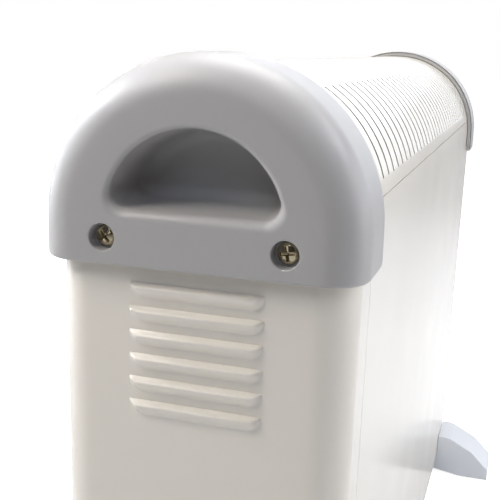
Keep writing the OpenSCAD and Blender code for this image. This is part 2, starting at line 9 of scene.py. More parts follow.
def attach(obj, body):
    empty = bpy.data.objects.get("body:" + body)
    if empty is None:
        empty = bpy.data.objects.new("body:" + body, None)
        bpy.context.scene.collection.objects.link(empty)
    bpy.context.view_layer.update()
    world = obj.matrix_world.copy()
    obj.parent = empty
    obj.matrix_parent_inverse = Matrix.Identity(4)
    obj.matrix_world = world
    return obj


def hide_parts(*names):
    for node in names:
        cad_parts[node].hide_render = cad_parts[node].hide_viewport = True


# Looks of the convector heater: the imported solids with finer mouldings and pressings
# over them, in metres. Lengths in the dictionaries are millimetres.
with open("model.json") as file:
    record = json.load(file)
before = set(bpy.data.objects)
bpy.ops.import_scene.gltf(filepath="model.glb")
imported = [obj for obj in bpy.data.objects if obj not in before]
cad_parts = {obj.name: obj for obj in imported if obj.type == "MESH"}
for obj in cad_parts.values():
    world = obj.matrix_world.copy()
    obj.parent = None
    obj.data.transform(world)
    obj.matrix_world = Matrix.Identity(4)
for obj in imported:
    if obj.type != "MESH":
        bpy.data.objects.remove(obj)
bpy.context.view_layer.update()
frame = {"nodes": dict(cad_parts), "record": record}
print("stage: frame loaded")

millimetre = 0.001
sharpAngle = 35  # edges that turn by more degrees than this stay sharp
meshing = {"fillInside": 1, "tolerance": 1e-6}  # how flat outlines are filled with faces

# Overall sizes that several pieces share, the same as in the solids
heater = {
    "halfLength": 270.0,
    "shift": -5.9,
    "arcHeight": 317.5,
    "capBottom": 301.5,
    "panelDepth": 7.0,
    "screwOffset": 37.5,
    "screwRise": 11.0,
}


# A point at a depth behind the end face of one end, in metres
def endPoint(side, depth, y, z):
    x = heater["shift"] + side * (heater["halfLength"] - depth)
    return (x * millimetre, y * millimetre, z * millimetre)


# Links a mesh and shades it smooth below the given angle
def addObject(name, verts, faces, smoothAngle=None):
    mesh = bpy.data.meshes.new(name)
    mesh.from_pydata(verts, [], faces)
    mesh.validate()
    mesh.update()
    if smoothAngle is not None:
        mesh.shade_smooth()
        mesh.set_sharp_from_angle(angle=math.radians(smoothAngle))
    obj = bpy.data.objects.new(name, mesh)
    bpy.context.collection.objects.link(obj)
    return obj


# Keeps flat areas flat next to small roundings
def weightNormals(obj):
    modifier = obj.modifiers.new("weighted", "WEIGHTED_NORMAL")
    modifier.keep_sharp = True
    modifier.weight = 80  # large faces count more than small ones


# Turns the faces of a closed or nearly closed mesh outwards
def turnOutwards(obj):
    bm = bmesh.new()
    bm.from_mesh(obj.data)
    bmesh.ops.recalc_face_normals(bm, faces=bm.faces)
    bm.to_mesh(obj.data)
    bm.free()


# Collects points and faces, joining points that coincide
class Patch:
    def __init__(self):
        self.verts = []
        self.faces = []
        self.found = {}

    def point(self, p):
        key = tuple(round(c, 4) for c in p)
        if key not in self.found:
            self.found[key] = len(self.verts)
            self.verts.append(p)
        return self.found[key]

    # Quads between neighbouring rows of points
    def strip(self, rows, closed=False):
        marks = [[self.point(p) for p in row] for row in rows]
        for a, b in zip(marks, marks[1:]):
            count = len(a)
            for i in range(count if closed else count - 1):
                j = (i + 1) % count
                face = []
                for v in (a[i], a[j], b[j], b[i]):
                    if v not in face:
                        face.append(v)
                if len(face) > 2:
                    self.faces.append(face)

    # A flat face at one depth inside a loop of (y, z) points and round its holes
    def fill(self, outer, holes, depth):
        points, edges = [], []
        for loop in [outer, *holes]:
            start = len(points)
            points += loop
            count = len(loop)
            edges += [(start + i, start + (i + 1) % count) for i in range(count)]
        flat = [Vector(p) for p in points]
        _, _, faces, origins, _, _ = delaunay_2d_cdt(
            flat, edges, [], meshing["fillInside"], meshing["tolerance"])
        for face in faces:
            corners = [origins[i][0] for i in face]
            middle = sum((flat[i] for i in corners), Vector((0, 0))) / len(corners)
            if inside(middle, outer) and not any(inside(middle, hole) for hole in holes):
                self.faces.append([self.point((depth, *points[i])) for i in corners])


# Whether a point lies inside a closed loop
def inside(p, loop):
    hit = False
    for (ay, az), (by, bz) in zip(loop, loop[1:] + loop[:1]):
        if (az > p[1]) != (bz > p[1]) and p[0] < (by - ay) * (p[1] - az) / (bz - az) + ay:
            hit = not hit
    return hit


# Places a patch of (depth, y, z) points at one end
def endPiece(name, patch, side, smoothAngle):
    verts = [endPoint(side, *p) for p in patch.verts]
    faces = patch.faces if side < 0 else [list(reversed(f)) for f in patch.faces]
    return addObject(name, verts, faces, smoothAngle)


# Evenly spaced values from start to end, both included
def steps(start, end, count):
    return [start + (end - start) * i / count for i in range(count + 1)]


# Evenly spaced angles round a full turn
def circleSteps(count):
    return [2 * math.pi * i / count for i in range(count)]


# Colours are written as sRGB hex, as on a paint card, and turned into linear values here
def colour(card):
    values = [int(card[i:i + 2], 16) / 255 for i in (1, 3, 5)]
    return [v / 12.92 if v <= 0.04045 else ((v + 0.055) / 1.055) ** 2.4 for v in values] + [1.0]


# Adds a shader node, sets its settings, ramp stops and sockets, and joins sockets to others
def addNode(tree, kind, values=None, stops=None, **settings):
    node = tree.nodes.new(kind)
    for key, value in settings.items():
        setattr(node, key, value)
    for key, value in (values or {}).items():
        if isinstance(value, bpy.types.NodeSocket):
            tree.links.new(value, node.inputs[key])
        else:
            node.inputs[key].default_value = value
    if stops:
        elements = node.color_ramp.elements
        elements.remove(elements[-1])
        for i, (place, value) in enumerate(stops):
            stop = elements[0] if i == 0 else elements.new(place)
            stop.position = place
            stop.color = value
    return node


# Starts a material and gives its tree and the place on the piece
def newMaterial(name):
    made = bpy.data.materials.new(name)
    made.use_nodes = True
    tree = made.node_tree
    tree.nodes.clear()
    return made, tree, addNode(tree, "ShaderNodeTexCoord").outputs["Object"]


# Noise scale for features of a size in millimetres
def perSize(size):
    return 1 / (size * millimetre)


# What all pieces of one finish share: the index of refraction, the size of the slow change in tone and
# the height of the relief in millimetres, how far the roughness varies, and a pore's size in grains
finishes = {
    "moulded": {"ior": 1.53, "cloud": 45, "relief": 0.03, "vary": 0.05, "pores": 1.4},
    "stoved": {"ior": 1.5, "cloud": 60, "relief": 0.05, "vary": 0.03},
    "metal": {"relief": 0.02, "vary": 0.08},
}


# A moulding with the grain of its tool
def moulded(name, look):
    made, tree, place = newMaterial(name)
    finish = finishes["moulded"]
    grain = addNode(tree, "ShaderNodeTexNoise", {
        "Vector": place, "Scale": perSize(look["grain"]), "Detail": 4.0})
    pores = addNode(tree, "ShaderNodeTexVoronoi", {
        "Vector": place, "Scale": perSize(look["grain"] * finish["pores"])})
    cloud = addNode(tree, "ShaderNodeTexNoise", {
        "Vector": place, "Scale": perSize(finish["cloud"]), "Detail": 2.0})
    tone = addNode(tree, "ShaderNodeMix", {
        0: cloud.outputs["Fac"], 6: colour(look["low"]), 7: colour(look["high"])}, data_type="RGBA")
    shine = addNode(tree, "ShaderNodeMapRange", {
        "Value": grain.outputs["Fac"],
        "To Min": look["roughness"] - finish["vary"], "To Max": look["roughness"] + finish["vary"]})
    height = addNode(tree, "ShaderNodeMath", {
        0: grain.outputs["Fac"], 1: pores.outputs["Distance"]}, operation="ADD")
    bump = addNode(tree, "ShaderNodeBump", {
        "Strength": look["bump"], "Distance": finish["relief"] * millimetre, "Height": height.outputs[0]})
    surface = addNode(tree, "ShaderNodeBsdfPrincipled", {
        "Base Color": tone.outputs[2], "Roughness": shine.outputs[0], "Normal": bump.outputs[0],
        "IOR": finish["ior"]})
    addNode(tree, "ShaderNodeOutputMaterial", {"Surface": surface.outputs[0]})
    return made


# Sprayed and stoved enamel on sheet steel: a smooth gloss with a slight orange peel
def stoved(name, look):
    made, tree, place = newMaterial(name)
    finish = finishes["stoved"]
    peel = addNode(tree, "ShaderNodeTexNoise", {
        "Vector": place, "Scale": perSize(look["peel"]), "Detail": 2.0})
    haze = addNode(tree, "ShaderNodeTexNoise", {
        "Vector": place, "Scale": perSize(finish["cloud"]), "Detail": 3.0})
    tone = addNode(tree, "ShaderNodeMix", {
        0: haze.outputs["Fac"], 6: colour(look["low"]), 7: colour(look["high"])}, data_type="RGBA")
    shine = addNode(tree, "ShaderNodeMapRange", {
        "Value": haze.outputs["Fac"],
        "To Min": look["roughness"] - finish["vary"], "To Max": look["roughness"] + finish["vary"]})
    bump = addNode(tree, "ShaderNodeBump", {
        "Strength": look["bump"], "Distance": finish["relief"] * millimetre, "Height": peel.outputs["Fac"]})
    surface = addNode(tree, "ShaderNodeBsdfPrincipled", {
        "Base Color": tone.outputs[2], "Roughness": shine.outputs[0], "Normal": bump.outputs[0],
        "IOR": finish["ior"]})
    addNode(tree, "ShaderNodeOutputMaterial", {"Surface": surface.outputs[0]})
    return made


# Plated or bare sheet and wire, with a fine spangle in it
def metal(name, look):
    made, tree, place = newMaterial(name)
    finish = finishes["metal"]
    spots = addNode(tree, "ShaderNodeTexNoise", {
        "Vector": place, "Scale": perSize(look["spot"]), "Detail": 4.0})
    tone = addNode(tree, "ShaderNodeMix", {
        0: spots.outputs["Fac"], 6: colour(look["low"]), 7: colour(look["high"])}, data_type="RGBA")
    shine = addNode(tree, "ShaderNodeMapRange", {
        "Value": spots.outputs["Fac"],
        "To Min": look["roughness"] - finish["vary"], "To Max": look["roughness"] + finish["vary"]})
    bump = addNode(tree, "ShaderNodeBump", {
        "Strength": look["bump"], "Distance": finish["relief"] * millimetre, "Height": spots.outputs["Fac"]})
    surface = addNode(tree, "ShaderNodeBsdfPrincipled", {
        "Base Color": tone.outputs[2], "Roughness": shine.outputs[0], "Normal": bump.outputs[0],
        "Metallic": 1.0})
    addNode(tree, "ShaderNodeOutputMaterial", {"Surface": surface.outputs[0]})
    return made


# Grain, peel and spot sizes are millimetres. The real grain of the mouldings is near a tenth of a
# millimetre, too fine to show, so it is drawn a few times coarser.
materials = {
    # Light grey ABS from a spark-eroded tool: broad soft highlights that show the big edge radius
    "moulded_grey_plastic": moulded("spark-eroded grey abs", {
        "low": "#B2B1B1", "high": "#B6B5B5", "grain": 0.5, "roughness": 0.42, "bump": 0.25}),
    # Polypropylene of the feet, drawn paler than the caps' grey: painted light, for the strong light on the
    # far feet
    "foot_plastic": moulded("moulded polypropylene drawn paler by painted light", {
        "low": "#DADDE2", "high": "#E0E3E8", "grain": 0.6, "roughness": 0.46, "bump": 0.25}),
    # Warm white enamel: the glossy coat that mirrors the backdrop
    "painted_casing": stoved("stoved warm white enamel on steel", {
        "low": "#EEE9DF", "high": "#F2EDE4", "peel": 2.2, "roughness": 0.13, "bump": 0.08}),
    # Bright zinc with a yellow passivation that gives the screws their brassy tint
    "zinc_screws": metal("yellow passivated zinc on steel", {
        "low": "#A2967A", "high": "#D6CBB0", "spot": 0.8, "roughness": 0.14, "bump": 0.2}),
    # Dull spangled zinc of the hidden sheet parts
    "galvanised_steel": metal("hot-dip galvanised sheet", {
        "low": "#9DA3A8", "high": "#C0C5C8", "spot": 6.0, "roughness": 0.42, "bump": 0.15}),
    # Sheet that reflects the heat: the brightest metal, with clearer reflections than the other sheets
    "bright_shield": metal("bright aluminised sheet", {
        "low": "#C4C6C8", "high": "#D2D4D6", "spot": 3.0, "roughness": 0.22, "bump": 0.1}),
    # Steel that heat has turned brown: dark and dull, with slow patches of tint
    "element_steel": metal("heat-tinted steel", {
        "low": "#6B6054", "high": "#8C8478", "spot": 4.0, "roughness": 0.45, "bump": 0.2}),
    # Black rubber: almost no highlight
    "rubber_pads": moulded("moulded black rubber", {
        "low": "#1C1C1D", "high": "#242425", "grain": 0.4, "roughness": 0.7, "bump": 0.3}),
    # Pressed and fired ceramic without a glaze: chalky cream
    "ceramic_parts": moulded("unglazed steatite", {
        "low": "#DDD6C6", "high": "#E8E2D4", "grain": 0.3, "roughness": 0.55, "bump": 0.2}),
    # Black nylon of the switch bodies and the cord inlet: a soft grey sheen on its edges
    "black_moulding": moulded("moulded black nylon", {
        "low": "#1A1B1C", "high": "#212223", "grain": 0.5, "roughness": 0.45, "bump": 0.25}),
    # Rockers from a polished tool: a small sharp highlight where they bend
    "gloss_rocker": moulded("polished black polycarbonate", {
        "low": "#141415", "high": "#18181A", "grain": 0.8, "roughness": 0.14, "bump": 0.04}),
    # Heat-proof sleeves of the inner wires: a dull red brown
    "wire_insulation": moulded("brown silicone sleeve", {
        "low": "#5E2A1E", "high": "#6A3224", "grain": 0.5, "roughness": 0.5, "bump": 0.2}),
}


def paint(obj, slotName):
    obj.data.materials.clear()
    obj.data.materials.append(materials[slotName])


print("stage: materials made")

# End caps: a half-round moulding with a soft edge, a carrying pocket and two screw recesses
endCap = {
    "radius": 67.5,
    "edge": 16.0,
    "length": 40.0,
    "wall": 2.5,
    "bossWall": 1.4,
    "frontRound": 1.5,
    "sideRound": 2.0,
    "border": 0.8,
    "openRound": 0.6,
    "openMiddle": 0.3,  # how far in the middle of that round lies, as a share of it
    "sharpAngle": 60,
    "sideFrom": 0.9,  # share of the length where the rows of the side begin
    "sideSteps": 5,
    "arcSteps": 96,
    "skirtSteps": 6,
    "edgeSteps": 20,
    "roundSteps": 6,
    "faceSteps": 44,
}
capLip = {"radius": 63.8, "length": 3.0, "setBack": 0.1, "round": 0.4, "gap": 1.2, "rise": 0.3,
          "sharpAngle": 30}
grip = {
    "radius": 38.9,
    "rise": 18.7,
    "corner": 8.0,
    "flatLip": 4.0,
    "archLip": 2.2,
    "draft": 2.0,
    "depth": 30.0,
    "backFillet": 6.0,
    "lipCorner": 1.0,
    "cornerLean": 0.5,
    "leastCorner": 0.6,
    "flatSteps": 24,
    "cornerSteps": 12,
    "archSteps": 72,
    "lipSteps": 9,
    "wallSteps": 5,
    "filletSteps": 8,
}
recess = {"radius": 5.5, "depth": 5.5, "bore": 2.2, "rim": 0.5, "end": 6.9, "taper": 0.05, "round": 0.4,
          "around": 48, "rimSteps": 4, "thinFrom": 2.0, "thinReach": 0.1}


# (y, z) points up one skirt, over the arc and down the other
def capOutline(r, bottom):
    arc = heater["arcHeight"]
    rise = steps(bottom, arc, endCap["skirtSteps"])[:-1]
    over = steps(0, math.pi, endCap["arcSteps"])
    return ([(r, z) for z in rise]
            + [(r * math.cos(t), arc + r * math.sin(t)) for t in over]
            + [(-r, z) for z in reversed(rise)])


# How far a quarter-round lip has run inwards at a depth
def lipInset(radius, depth):
    return radius if depth >= radius else math.sqrt(radius ** 2 - (radius - depth) ** 2)


# The grip outline as a closed loop, set in by arch and by flat
def gripLoop(arch, flat, corner):
    r = grip["radius"] - arch
    rise = flat + corner
    reach = math.sqrt((r - corner) ** 2 - rise ** 2)
    turn = math.atan2(rise, reach)
    base = heater["capBottom"] + grip["rise"]
    loop = [(y, base + flat) for y in steps(-reach, reach, grip["flatSteps"])[:-1]]
    loop += [(reach + corner * math.cos(t), base + rise + corner * math.sin(t))
             for t in steps(-math.pi / 2, turn, grip["cornerSteps"])[:-1]]
    loop += [(r * math.cos(t), base + r * math.sin(t))
             for t in steps(turn, math.pi - turn, grip["archSteps"])[:-1]]
    loop += [(-reach + corner * math.cos(t), base + rise + corner * math.sin(t))
             for t in steps(math.pi - turn, 1.5 * math.pi, grip["cornerSteps"])[:-1]]
    return loop


# Sections of the grip pocket: its soft lip, its leaning walls and the fillet at its back
def gripSections():
    sections = []
    for turn in steps(0, math.pi / 2, grip["lipSteps"]):
        depth = grip["flatLip"] * (1 - math.cos(turn))
        sections.append((depth, lipInset(grip["archLip"], depth), lipInset(grip["flatLip"], depth),
                         grip["corner"] - lipInset(grip["lipCorner"], depth)))
    lipEnd, arch, flat, corner = sections[-1]
    wallEnd = grip["depth"] - grip["backFillet"]
    for share in steps(0, 1, grip["wallSteps"])[1:]:
        lean = grip["draft"] * share * wallEnd / grip["depth"]
        sections.append((lipEnd + (wallEnd - lipEnd) * share, arch + lean, flat + lean,
                         corner - grip["cornerLean"] * lean))
    _, arch, flat, corner = sections[-1]
    for turn in steps(0, math.pi / 2, grip["filletSteps"])[1:]:
        inset = grip["backFillet"] * (1 - math.cos(turn))
        sections.append((wallEnd + grip["backFillet"] * math.sin(turn), arch + inset, flat + inset,
                         max(grip["leastCorner"], corner - inset)))
    depth, arch, flat, corner = sections[-1]
    sections.append((depth, arch + endCap["border"], flat + endCap["border"], corner))
    return sections


# The outer skin of a cap
def capPatch():
    patch = Patch()
    full, edge, length, openRound = (endCap[key] for key in ("radius", "edge", "length", "openRound"))
    bottom = heater["capBottom"]
    # The rim from its open edge to the face, as (depth, radius, how far it faces sideways)
    cut = endCap["openMiddle"] * openRound
    rim = [(length, full - openRound, 1.0), (length - cut, full - cut, 1.0), (length - openRound, full, 1.0)]
    sideRows = steps(endCap["sideFrom"] * length, edge, endCap["sideSteps"])[:-1]
    rim += [(depth, full, 1.0) for depth in sideRows]
    rim += [(edge - edge * math.sin(t), full - edge + edge * math.cos(t), math.cos(t))
            for t in steps(0, math.pi / 2, endCap["edgeSteps"])]
    lows = [endCap["frontRound"] + (endCap["sideRound"] - endCap["frontRound"]) * sideways ** 2
            for _, _, sideways in rim]
    rows = [[(depth, y, z) for y, z in capOutline(r, bottom + low)] for (depth, r, _), low in zip(rim, lows)]
    patch.strip(rows)
    # The rounding under each skirt and under the flat face
    turns = steps(0, math.pi / 2, endCap["roundSteps"])
    for front in (1, -1):
        under = []
        for (depth, r, sideways), low in zip(rim, lows):
            outwards = math.sqrt(max(0.0, 1 - sideways ** 2))
            under.append([(depth + low * (1 - math.cos(t)) * outwards,
                           front * (r - low * (1 - math.cos(t)) * sideways),
                           bottom + low * (1 - math.sin(t))) for t in turns])
        patch.strip(under)
    low = endCap["frontRound"]
    flat = steps(-(full - edge), full - edge, endCap["faceSteps"])
    patch.strip([[(low * (1 - math.cos(t)), y, bottom + low * (1 - math.sin(t))) for t in turns]
                 for y in flat])
    # The flat face, with an even border along its outline, the grip and the screw recesses
    border = endCap["border"]
    inner = full - edge - border
    outline = [(y, z) for _, y, z in rows[-1]] + [(y, bottom + low) for y in flat[1:-1]]
    inset = capOutline(inner, bottom + low + border)
    inset += [(y * inner / (full - edge), bottom + low + border) for y in flat[1:-1]]
    patch.strip([[(0.0, y, z) for y, z in loop] for loop in (outline, inset)], closed=True)
    holes = [gripLoop(-border, -border, grip["corner"] + border)]
    centres = [(y * heater["screwOffset"], bottom + heater["screwRise"]) for y in (1, -1)]
    around = circleSteps(recess["around"])
    mouth = recess["radius"] + recess["rim"]
    for cy, cz in centres:
        holes.append([(cy + (mouth + border) * math.cos(t), cz + (mouth + border) * math.sin(t))
                      for t in around])
    patch.fill(inset, holes, 0.0)
    # The grip pocket
    loops = [[(0.0, y, z) for y, z in holes[0]]]
    loops += [[(depth, y, z) for y, z in gripLoop(*section)] for depth, *section in gripSections()]
    patch.strip(loops, closed=True)
    patch.fill([(y, z) for _, y, z in loops[-1]], [], grip["depth"])
    # The screw recesses
    rings = [(0.0, mouth + border)]
    rings += [(recess["rim"] * (1 - math.cos(t)), recess["radius"] + recess["rim"] * (1 - math.sin(t)))
              for t in steps(0, math.pi / 2, recess["rimSteps"])]
    rings += [(recess["depth"] - recess["round"], recess["radius"] - recess["taper"]),
              (recess["depth"], recess["radius"] - recess["round"]),
              (recess["depth"], recess["bore"]), (recess["end"], recess["bore"])]
    for cy, cz in centres:
        patch.strip([[(depth, cy + reach * math.cos(t), cz + reach * math.sin(t)) for t in around]
                     for depth, reach in rings], closed=True)
    return patch


# The lip inside the open edge that closes the gap to the casing
def capLipPatch():
    patch = Patch()
    end = endCap["length"] - capLip["setBack"]
    start = end - capLip["length"]
    inner = capLip["radius"]
    outer = endCap["radius"] - capLip["gap"]
    section = [(start, inner), (end - capLip["round"], inner), (end, inner + capLip["round"]),
               (end, outer), (start, outer)]
    bottom = heater["capBottom"] + capLip["rise"]
    rows = [[(depth, y, z) for y, z in capOutline(r, bottom)] for depth, r in section]
    patch.strip(rows + [rows[0]])
    for last in (0, -1):
        patch.faces.append([patch.point(row[last]) for row in rows])
    return patch


capShape = capPatch()
lipShape = capLipPatch()
for side, name in ((-1, "left"), (1, "right")):
    cap = endPiece(name + "EndCap", capShape, side, endCap["sharpAngle"])
    turnOutwards(cap)
    # The wall is thinner round the screw recesses
    walls = cap.vertex_groups.new(name="walls")
    for i, (depth, y, z) in enumerate(capShape.verts):
        fromScrew = math.hypot(abs(y) - heater["screwOffset"], z - heater["capBottom"] - heater["screwRise"])
        boss = depth > recess["thinFrom"] and fromScrew < recess["radius"] + recess["thinReach"]
        walls.add([i], endCap["bossWall"] / endCap["wall"] if boss else 1.0, "REPLACE")
    wall = cap.modifiers.new("wall", "SOLIDIFY")
    wall.thickness = endCap["wall"] * millimetre
    wall.offset = -1
    wall.vertex_group = walls.name
    weightNormals(cap)
    lip = endPiece(name + "CapLip", lipShape, side, capLip["sharpAngle"])
    turnOutwards(lip)
    for piece in (cap, lip):
        paint(piece, "moulded_grey_plastic")
        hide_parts(name + "_end_cap")
        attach(piece, "casing")
print("stage: end caps made")

# End panels: pressed sheet with rounded upright corners, louvres and joggled tongues
endPanel = {
    "halfWidth": 63.5,
    "corner": 16.0,
    "flange": 32.4,
    "bottom": 20.0,
    "top": 316.5,
    "lean": math.tan(math.radians(0.4)),
    "sheet": 1.0,
    "tongueInset": 1.1,
    "tongueEnd": 54.4,
    "joggle": 0.5,
    "step": 0.1,
    "cutRound": 0.25,
    "sharpAngle": 40,
    "flangeRows": (8, 14),  # from the end of the flange
    "lowerStop": 12,  # below the lowest louvre's lip
    "lowerSteps": 9,
    "overLips": (1, 4),  # above the highest louvre's lip
    "upperRows": (300, 308),
    "coarse": (31, 33, 36, 40, 44),  # places beside the louvres
    "cornerSteps": 20,
}
louvre = {
    "count": 6,
    "pitch": 10.0,
    "first": 294.1,
    "halfWidth": 28.5,
    "reach": 6.6,
    "peak": 3.1,
    "peakAt": 1.9,
    "fallPower": 1.5,
    "cornerLength": 7.5,
    "cornerPower": 2.3,
    "endLength": 5.5,
    "endPower": 2.4,
    "acrossSteps": 116,
    "margin": 0.5,
    "rows": [(9.6, 7.0, 3), (7.0, 2.0, 18), (2.0, 0.0, 14)],  # from, to and count, down from a lip
}
openings = {"y": [(-18.6, -5.4), (5.4, 18.6)], "z": (132.3, 151.7)}  # for the two switches
nearlyZero = 0.001


# How far a louvre stands out of the panel at a distance below its lip
def louvreHeight(y, below):
    room = louvre["halfWidth"] - abs(y)
    if below < -nearlyZero or room <= 0:
        return 0.0
    corner = min(room / louvre["cornerLength"], 1.0)
    reach = louvre["reach"] * math.sqrt(1 - (1 - corner) ** louvre["cornerPower"])
    t = below / max(reach, 10 * nearlyZero)
    if t >= 1:
        return 0.0
    peakAt = louvre["peakAt"] / louvre["reach"]
    if t < peakAt:
        height = louvre["peak"] * (1 - (1 - t / peakAt) ** 2)
    else:
        fall = (t - peakAt) / (1 - peakAt)
        height = louvre["peak"] * (1 - fall ** 2) ** louvre["fallPower"]
    end = min(room / louvre["endLength"], 1.0)
    return height * (1 - (1 - end) ** louvre["endPower"])


# The skin of one end panel; the right one has the openings for the switches
def panelPatch(side):
    patch = Patch()
    face, corner, half = heater["panelDepth"], endPanel["corner"], endPanel["halfWidth"]
    bend = half - corner
    reach = louvre["halfWidth"] + louvre["margin"]
    flat = steps(-reach, reach, louvre["acrossSteps"])
    flat += [way * y for y in (*endPanel["coarse"], bend) for way in (-1, 1)]
    if side > 0:
        flat += [y for pair in openings["y"] for y in pair]
    flat = sorted(set(round(y, 3) for y in flat))
    end = face + endPanel["flange"]
    cut = endPanel["cutRound"]
    tongue = half - endPanel["tongueInset"]
    # Plan points as (depth, y, share of the lean): the tongue, its joggle, the cut edge and the flange
    sidePlan = [(endPanel["tongueEnd"], tongue, 1), (end + endPanel["joggle"], tongue, 1),
                (end, tongue + endPanel["step"], 1), (end, half - cut, 1), (end - cut, half, 1),
                *((end - back, half, 1) for back in endPanel["flangeRows"])]
    sidePlan += [(face + corner - corner * math.sin(t), bend + corner * math.cos(t), 1)
                 for t in steps(0, math.pi / 2, endPanel["cornerSteps"])][:-1]
    plan = sidePlan + [(face, bend, 1)] + [(face, y, 0) for y in reversed(flat[1:-1])]
    plan += [(face, -bend, 1)] + [(depth, -y, 1) for depth, y, _ in reversed(sidePlan)]
    lips = [louvre["first"] - k * louvre["pitch"] for k in range(louvre["count"])]
    # Rows as (height, lip of the louvre that the row belongs to), closest together just below a lip
    lower = steps(endPanel["bottom"], lips[-1] - endPanel["lowerStop"], endPanel["lowerSteps"])
    rows = [(z, None) for z in lower]
    if side > 0:
        rows = sorted(rows + [(z, None) for z in openings["z"]])
    for lip in reversed(lips):
        for start, stop, count in louvre["rows"]:
            rows += [(z, lip) for z in steps(lip - start, lip - stop, count)[:-1]]
        rows.append((lip, lip))
    over = [lips[0] + rise for rise in endPanel["overLips"]]
    rows += [(z, None) for z in (*over, *endPanel["upperRows"], endPanel["top"])]
    index = []
    for z, lip in rows:
        own = []
        for depth, y, share in plan:
            out = louvreHeight(y, lip - z) if lip is not None and depth == face else 0.0
            lean = (z - heater["arcHeight"]) * endPanel["lean"] * share
            own.append(patch.point((depth - out, y + math.copysign(1.0, y) * lean, z)))
        index.append(own)
    for (z, _), low, high in zip(rows, index, index[1:]):
        crossed = side > 0 and openings["z"][0] <= z < openings["z"][1] - nearlyZero
        for i in range(len(plan) - 1):
            middle = (plan[i][1] + plan[i + 1][1]) / 2
            if crossed and plan[i][0] == face and any(a < middle < b for a, b in openings["y"]):
                continue
            patch.faces.append([low[i], low[i + 1], high[i + 1], high[i]])
    return patch


for side, name in ((-1, "left"), (1, "right")):
    panel = endPiece(name + "EndPanel", panelPatch(side), side, endPanel["sharpAngle"])
    sheet = panel.modifiers.new("sheet", "SOLIDIFY")
    sheet.thickness = endPanel["sheet"] * millimetre
    sheet.offset = -1
    weightNormals(panel)
    paint(panel, "painted_casing")
    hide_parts(name + "_end_panel")
    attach(panel, "casing")
print("stage: end panels made")

# Screws: a pan head with a tapered cross recess on a ringed shank, in three sizes.
# Head is its radius, reach is half the width of the cross, sink its depth and length that of the shank.
screwSizes = {
    "cap": {"head": 4.5, "height": 2.7, "reach": 2.9, "sink": 1.9, "length": 12.0},
    "rear": {"head": 3.75, "height": 2.2, "reach": 2.3, "sink": 1.3, "length": 6.0},
    "foot": {"head": 4.0, "height": 2.4, "reach": 2.4, "sink": 1.4, "length": 14.0},
}
screwForm = {
    "around": 60,
    "wing": 0.62,
    "shank": 2.0,
    "core": 1.5,
    "pitch": 1.4,
    "crown": (3.4, 0.45),  # powers that shape the head
    "middle": 0.78,  # share of the head that is meshed round the cross
    "rim": (0, 0.2, 0.4, 0.58, 0.74, 0.86, 0.94, 0.985),
    "cross": [(0.12, 0.0), (0.0, 0.1), (-0.26, 1.0)],  # growth and depth, 1.0 for the whole sink
    "sinkSlope": 0.5,  # share of the sink that is lost towards the end of an arm
    "skirt": 0.25,
    "bearing": 0.2,
    "firstRing": 0.6,
    "crestAt": 0.35,  # share of the pitch from the root of a ring to its crest
    "tip": 0.4,
    "tipLength": 0.8,
    "upright": 0.9,  # least share of a direction's length along Z that counts as upright
    "sharpAngle": 32,
}
footScrew = {"x": 232.0, "y": 40.0, "seat": 11.4, "turn": 20, "turnStep": 30}
rearScrew = {"x": 221.6, "heights": (60, 160, 260), "turn": 17}
capTurns = ((1, 38), (-1, 8))  # rear and front, with the turn of the cross in degrees


# A cross outline with four arms
def crossLoop(reach, half):
    loop = []
    for c, s in ((1, 0), (0, 1), (-1, 0), (0, -1)):
        loop += [(x * c - y * s, x * s + y * c) for x, y in ((reach, -half), (reach, half), (half, half))]
    return loop


# One screw as (height above its seat, x, y) points
def screwPatch(size):
    patch = Patch()
    head, height, wing = size["head"], size["height"], screwForm["wing"]

    def crown(r):
        inner, outer = screwForm["crown"]
        return height * (1 - min(r / head, 1.0) ** inner) ** outer

    # The middle of the head with its recess, meshed flat and then raised
    levels = screwForm["cross"]
    loops = [crossLoop(size["reach"] + grow, wing + grow) for grow, _ in levels]
    rim = screwForm["middle"] * head
    outer = [(rim * math.cos(t), rim * math.sin(t)) for t in circleSteps(screwForm["around"])]
    sinks = {}
    points, edges = [], []
    for loop, sink in zip([outer, *loops], [0.0, *(sink for _, sink in levels)]):
        start = len(points)
        for i, (x, y) in enumerate(loop):
            points.append(Vector((x, y)))
            edges.append((start + i, start + (i + 1) % len(loop)))
            lost = screwForm["sinkSlope"] * math.hypot(x, y) / size["reach"]
            sinks[len(points) - 1] = size["sink"] * (1 - lost) if sink == 1.0 else sink
    points.append(Vector((0, 0)))
    sinks[len(points) - 1] = size["sink"]
    out, _, faces, sources, _, _ = delaunay_2d_cdt(
        points, edges, [], meshing["fillInside"], meshing["tolerance"])
    marks = []
    for place, source in zip(out, sources):
        r = place.length
        marks.append(patch.point((crown(r) - sinks[source[0]] if source else crown(r), place.x, place.y)))
    patch.faces += [[marks[i] for i in face] for face in faces]
    # The rounded edge of the head, its bearing face, and the shank with its thread rings
    rings = [(crown(rim + (head - rim) * share), rim + (head - rim) * share) for share in screwForm["rim"]]
    rings += [(screwForm["skirt"], head), (0.0, head - screwForm["bearing"]), (0.0, screwForm["shank"])]
    turns = int(size["length"] / screwForm["pitch"] - 1)
    for k in range(turns):
        root = -screwForm["firstRing"] - k * screwForm["pitch"]
        crest = root - screwForm["crestAt"] * screwForm["pitch"]
        rings += [(root, screwForm["core"]), (crest, screwForm["shank"])]
    tip = screwForm["tip"]
    rings += [(-size["length"] + screwForm["tipLength"], screwForm["core"]), (-size["length"], tip)]
    patch.strip([[(h, r * math.cos(t), r * math.sin(t)) for t in circleSteps(screwForm["around"])]
                 for h, r in rings], closed=True)
    patch.faces.append([patch.point((-size["length"], tip * math.cos(t), tip * math.sin(t)))
                        for t in circleSteps(screwForm["around"])])
    return patch


